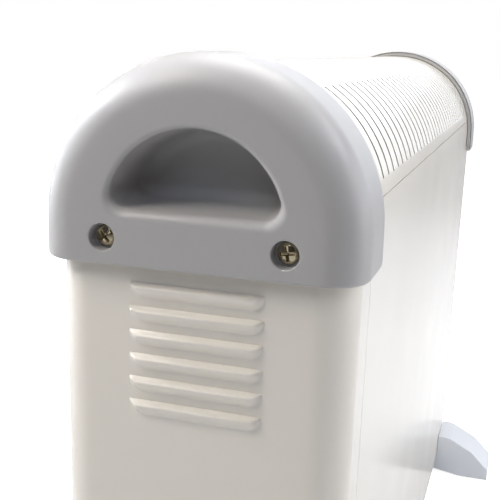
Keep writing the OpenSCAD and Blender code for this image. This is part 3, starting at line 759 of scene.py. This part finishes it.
# Sets screws of one size at places given as (seat, outward direction, turn in degrees)
def addScrews(name, node, size, places):
    shape = screwPatch(screwSizes[size])
    verts, faces = [], []
    for seat, outward, turn in places:
        axis = Vector(outward).normalized()
        aside = Vector((0, 0, 1)) if abs(axis.z) < screwForm["upright"] else Vector((1, 0, 0))
        across = axis.cross(aside).normalized()
        up = axis.cross(across)
        c, s = math.cos(math.radians(turn)), math.sin(math.radians(turn))
        start = len(verts)
        for h, x, y in shape.verts:
            p = axis * h + across * (x * c - y * s) + up * (x * s + y * c)
            verts.append(tuple((Vector(seat) + p) * millimetre))
        faces += [[start + i for i in face] for face in shape.faces]
    screws = addObject(name, verts, faces, screwForm["sharpAngle"])
    turnOutwards(screws)
    paint(screws, "zinc_screws")
    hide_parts(node)
    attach(screws, "casing")


seatX = heater["halfLength"] - recess["depth"]
screwZ = heater["capBottom"] + heater["screwRise"]
for side, name in ((-1, "left"), (1, "right")):
    addScrews(name + "CapScrews", name + "_cap_screws", "cap", [
        ((heater["shift"] + side * seatX, y * heater["screwOffset"], screwZ), (side, 0, 0), turn)
        for y, turn in capTurns])
    addScrews(name + "FootScrews", name + "_foot_screws", "foot", [
        ((heater["shift"] + side * footScrew["x"], y * footScrew["y"], footScrew["seat"]), (0, 0, -1),
         footScrew["turn"] + footScrew["turnStep"] * y) for y in (-1, 1)])
rearLean = endPanel["lean"]
addScrews("rearPanelScrews", "rear_panel_screws", "rear", [
    ((heater["shift"] + side * rearScrew["x"],
      endPanel["halfWidth"] + (z - heater["arcHeight"]) * rearLean, z),
     (0, 1, -rearLean), rearScrew["turn"] * k)
    for k, (side, z) in enumerate((side, z) for side in (-1, 1) for z in rearScrew["heights"])])
print("stage: screws made")

# Thermostat knob: a skirt, a fluted barrel and a raised pointer in the same grey.
# The profile is (height, radius, share of the depth of the flutes).
knob = {
    "centre": 200.0,
    "back": 6.2,
    "flutes": 24,
    "fluteDepth": 0.75,
    "flutePower": 1.6,
    "stepsPerFlute": 10,
    "profile": [(0.0, 18.5, 0), (0.15, 18.85, 0), (0.5, 19.0, 0), (3.4, 19.0, 0), (3.8, 18.85, 0),
                (4.0, 18.5, 0), (4.05, 16.6, 0), (4.35, 16.1, 0.2), (4.9, 16.0, 1), (9.0, 15.95, 1),
                (14.6, 15.85, 1), (15.6, 15.7, 0.9), (16.3, 15.3, 0.6), (16.8, 14.6, 0.25),
                (17.0, 13.6, 0), (16.9, 10.0, 0), (16.8, 5.0, 0)],
    "pointer": {"from": -2.0, "to": 14.2, "halfWidth": 1.4, "rise": 0.95, "base": 16.7, "endSteps": 10,
                "levels": [(0.0, 0.0), (0.75, 0.0), (0.95, 0.12), (1.0, 0.3)]},
}


# Joins loops of points and closes the first and the last of them
def closedPatch(loops):
    patch = Patch()
    patch.strip(loops, closed=True)
    for loop in (loops[0], loops[-1]):
        patch.faces.append([patch.point(p) for p in loop])
    return patch


# Loops of a bar with round ends, which stands on the face of the knob
def barLoops(bar):
    low, high = bar["from"] + bar["halfWidth"], bar["to"] - bar["halfWidth"]
    loops = []
    for rise, inset in bar["levels"]:
        h = bar["base"] + bar["rise"] * rise
        r = bar["halfWidth"] - bar["halfWidth"] * inset
        loops.append([(h, r * math.cos(t), middle + r * math.sin(t))
                      for middle, start in ((high, 0), (low, math.pi))
                      for t in steps(start, start + math.pi, bar["endSteps"])])
    return loops


# Loops of the knob's barrel, with the flutes cut in by a share of their depth
def barrelLoops():
    turns = circleSteps(knob["flutes"] * knob["stepsPerFlute"])
    waves = [(0.5 + 0.5 * math.cos(knob["flutes"] * t)) ** knob["flutePower"] for t in turns]
    loops = []
    for h, r, share in knob["profile"]:
        cuts = [r - knob["fluteDepth"] * share * wave for wave in waves]
        loops.append([(h, reach * math.cos(t), reach * math.sin(t)) for reach, t in zip(cuts, turns)])
    return loops


# Puts a piece of the knob, given as loops of (height, y, z) points, on the control end
def addKnobPiece(name, loops):
    patch = closedPatch(loops)
    verts = [endPoint(1, knob["back"] - h, y, knob["centre"] + z) for h, y, z in patch.verts]
    piece = addObject(name, verts, patch.faces, sharpAngle)
    turnOutwards(piece)
    paint(piece, "moulded_grey_plastic")
    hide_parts("thermostat_knob")
    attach(piece, "knob")


addKnobPiece("knobBarrel", barrelLoops())
addKnobPiece("knobPointer", barLoops(knob["pointer"]))
print("stage: knob made")

# Feet and small mouldings: the solids with rounded edges, in millimetres
rounding = {"left_foot": 1.6, "right_foot": 1.6, "cord_gland": 0.5, "low_heat_switch_body": 0.5,
            "high_heat_switch_body": 0.5, "low_heat_rocker": 0.4, "high_heat_rocker": 0.4}
roundingSteps = 3
for name, width in rounding.items():
    soften = frame["nodes"][name].modifiers.new("rounding", "BEVEL")
    soften.width = width * millimetre
    soften.segments = roundingSteps
    soften.limit_method = "ANGLE"
    soften.angle_limit = math.radians(sharpAngle)
    soften.harden_normals = True

# Every solid that still shows is painted, and those not named above keep their own form
for entry in frame["record"]["subparts"]:
    piece = frame["nodes"][entry["node"]]
    if not piece.hide_render:
        paint(piece, entry["material_slot"])
        piece.data.shade_smooth()
        piece.data.set_sharp_from_angle(angle=math.radians(sharpAngle))
print("stage: solids painted")

# Floor of white paper that keeps the shadow. What the camera sees of it is lifted to white.
# Its size and the distances of the lift are metres, the fibre is millimetres.
floorLook = {"size": 12.0, "low": "#DCDCDD", "high": "#E0E0E1", "fibre": 3.0, "roughness": 0.8,
             "lift": (0.85, 1.0), "liftFrom": (0.5, 1.6), "mirrored": 0.35, "mirroredFrom": (-0.2, 0.6)}
reach = floorLook["size"]
floor = addObject("floor", [(-reach, -reach, 0), (reach, -reach, 0), (reach, reach, 0), (-reach, reach, 0)],
                  [(0, 1, 2, 3)])
made, tree, place = newMaterial("matt white paper")
fibre = addNode(tree, "ShaderNodeTexNoise", {
    "Vector": place, "Scale": perSize(floorLook["fibre"]), "Detail": 3.0})
tone = addNode(tree, "ShaderNodeMix", {
    0: fibre.outputs["Fac"], 6: colour(floorLook["low"]), 7: colour(floorLook["high"])}, data_type="RGBA")
matt = addNode(tree, "ShaderNodeBsdfPrincipled", {
    "Base Color": tone.outputs[2], "Roughness": floorLook["roughness"]})
# The lift keeps the floor as white as the backdrop to the camera, and partly so in reflections
seen = addNode(tree, "ShaderNodeLightPath")
far = addNode(tree, "ShaderNodeVectorMath", {0: place}, operation="LENGTH")
lift = addNode(tree, "ShaderNodeMapRange", {
    "Value": far.outputs["Value"], "From Min": floorLook["liftFrom"][0], "From Max": floorLook["liftFrom"][1],
    "To Min": floorLook["lift"][0], "To Max": floorLook["lift"][1]})
straight = addNode(tree, "ShaderNodeMath", {
    0: seen.outputs["Is Camera Ray"], 1: lift.outputs[0]}, operation="MULTIPLY")
along = addNode(tree, "ShaderNodeSeparateXYZ", {0: place})
behind = addNode(tree, "ShaderNodeMapRange", {
    "Value": along.outputs["X"], "From Min": floorLook["mirroredFrom"][0],
    "From Max": floorLook["mirroredFrom"][1], "To Min": 0.0, "To Max": floorLook["mirrored"]})
mirrored = addNode(tree, "ShaderNodeMath", {
    0: seen.outputs["Is Glossy Ray"], 1: behind.outputs[0], 2: straight.outputs[0]}, operation="MULTIPLY_ADD")
glow = addNode(tree, "ShaderNodeEmission", {"Color": (1, 1, 1, 1), "Strength": mirrored.outputs[0]})
both = addNode(tree, "ShaderNodeAddShader", {0: matt.outputs[0], 1: glow.outputs[0]})
addNode(tree, "ShaderNodeOutputMaterial", {"Surface": both.outputs[0]})
floor.data.materials.append(made)

# Soft studio light by direction: bright behind and beside the heater, dark behind the camera.
# Directions are degrees round from +X, with +90 to the left of the picture.
studio = {
    "gain": 2.2,
    "low": [(-180, "#262626"), (-150, "#201A16"), (-120, "#46301C"), (-90, "#5A3E24"), (-60, "#C4C8CC"),
            (-30, "#D4DCE2"), (0, "#AAA8AA"), (30, "#66605F"), (60, "#585658"), (90, "#7C8490"),
            (120, "#484A50"), (150, "#303236"), (180, "#262626")],
    "high": [(-180, "#30302E"), (-135, "#242424"), (-90, "#242424"), (-45, "#242424"), (0, "#242424"),
             (45, "#242424"), (90, "#2C2C2C"), (135, "#363636"), (180, "#30302E")],
    "top": "#2C2E32",
    "highFrom": (0.1, 0.45),
    "topFrom": (0.65, 0.95),
}
world = bpy.data.worlds.new("studio")
bpy.context.scene.world = world
world.use_nodes = True
tree = world.node_tree
tree.nodes.clear()
parts = addNode(tree, "ShaderNodeSeparateXYZ", {0: addNode(tree, "ShaderNodeTexCoord").outputs["Generated"]})
turn = addNode(tree, "ShaderNodeMath", {0: parts.outputs["Y"], 1: parts.outputs["X"]}, operation="ARCTAN2")
share = addNode(tree, "ShaderNodeMapRange", {
    "Value": turn.outputs[0], "From Min": -math.pi, "From Max": math.pi})
low, high = (addNode(tree, "ShaderNodeValToRGB", {"Fac": share.outputs[0]},
                     stops=[((angle + 180) / 360, colour(card)) for angle, card in studio[level]])
             for level in ("low", "high"))
toHigh, toTop = (addNode(tree, "ShaderNodeMapRange", {
    "Value": parts.outputs["Z"], "From Min": studio[level][0], "From Max": studio[level][1]},
    interpolation_type="SMOOTHSTEP") for level in ("highFrom", "topFrom"))
sides = addNode(tree, "ShaderNodeMix", {
    0: toHigh.outputs[0], 6: low.outputs["Color"], 7: high.outputs["Color"]}, data_type="RGBA")
blended = addNode(tree, "ShaderNodeMix", {
    0: toTop.outputs[0], 6: sides.outputs[2], 7: colour(studio["top"])}, data_type="RGBA")
soft = addNode(tree, "ShaderNodeBackground", {"Color": blended.outputs[2], "Strength": studio["gain"]})
white = addNode(tree, "ShaderNodeBackground", {"Color": (1, 1, 1, 1), "Strength": 1.0})
ray = addNode(tree, "ShaderNodeLightPath")
mixed = addNode(tree, "ShaderNodeMixShader", {
    0: ray.outputs["Is Camera Ray"], 1: soft.outputs[0], 2: white.outputs[0]})
addNode(tree, "ShaderNodeOutputWorld", {"Surface": mixed.outputs[0]})

# Lamps with their places, aims and sizes in metres, powers in watts and spreads in degrees
aims = {"whole": (-0.2, 0.0, 0.3), "nearEnd": (-0.27, 0.0, 0.25), "nearCap": (-0.27, 0.04, 0.39),
        "farEnd": (0.24, -0.09, 0.16)}
lamps = {
    "topLamp": {"place": (0.15, 0.0, 1.5), "aim": "whole", "size": 0.9, "power": 17.0, "card": "#FFFEFC"},
    "leftLamp": {"place": (0.05, 1.2, 0.5), "aim": "whole", "size": 0.8, "power": 7.5, "card": "#F4F8FF"},
    "rightLamp": {"place": (0.05, -1.2, 0.5), "aim": "whole", "size": 0.8, "power": 6.0, "card": "#F8FAFF"},
    "backLamp": {"place": (1.3, 0.0, 1.0), "aim": "whole", "size": 1.0, "power": 4.0, "card": "#E8F0FF"},
    "frontLamp": {"place": (-0.6, 0.42, 0.85), "aim": "nearEnd", "size": 0.35, "power": 3.5,
                  "card": "#FFF8EE"},
    "skyLamp": {"place": (-1.1, -0.1, 1.0), "aim": "nearEnd", "size": 0.3, "power": 1.5, "card": "#E2ECFF"},
    "leftRimLamp": {"place": (-0.3, 0.9, 0.85), "aim": "nearCap", "size": 0.2, "power": 0.13,
                    "card": "#F4F8FF", "spread": 18.0},
    "rightRimLamp": {"place": (-0.1, -0.8, 1.0), "aim": "nearCap", "size": 0.2, "power": 0.07,
                     "card": "#F4F8FF", "spread": 18.0},
    "farLamp": {"place": (-0.6, -0.6, 0.6), "aim": "farEnd", "size": 0.15, "power": 0.1,
                "card": "#F4F8FF", "spread": 24.0},
}
for name, values in lamps.items():
    lamp = bpy.data.lights.new(name, "AREA")
    lamp.size = values["size"]
    lamp.energy = values["power"]
    lamp.color = colour(values["card"])[:3]
    lamp.spread = math.radians(values.get("spread", 180.0))
    made = bpy.data.objects.new(name, lamp)
    bpy.context.collection.objects.link(made)
    made.location = values["place"]
    made.rotation_mode = "QUATERNION"
    forward = Vector(aims[values["aim"]]) - Vector(values["place"])
    made.rotation_quaternion = forward.to_track_quat("-Z", "Y")
print("stage: studio made")

# Camera as in the photograph, in millimetres and degrees
view = {"place": (-586.0, -121.3, 388.4), "yaw": 17.42, "pitch": 12.997, "roll": 1.705, "lens": 64.49,
        "sensor": 36.0}
yaw, pitch, roll = (math.radians(view[key]) for key in ("yaw", "pitch", "roll"))
forward = Vector((math.cos(pitch) * math.cos(yaw), math.cos(pitch) * math.sin(yaw), -math.sin(pitch)))
right = forward.cross(Vector((0, 0, 1))).normalized()
up = right.cross(forward)
turned = Matrix((right * math.cos(roll) + up * math.sin(roll),
                 up * math.cos(roll) - right * math.sin(roll), -forward)).transposed()
cameraData = bpy.data.cameras.new("camera")
cameraData.sensor_width = view["sensor"]
cameraData.lens = view["lens"]
camera = bpy.data.objects.new("camera", cameraData)
bpy.context.collection.objects.link(camera)
camera.matrix_world = Matrix.Translation(Vector(view["place"]) * millimetre) @ turned.to_4x4()
bpy.context.scene.camera = camera
bpy.context.scene.view_settings.view_transform = "Standard"

print("stage: done")
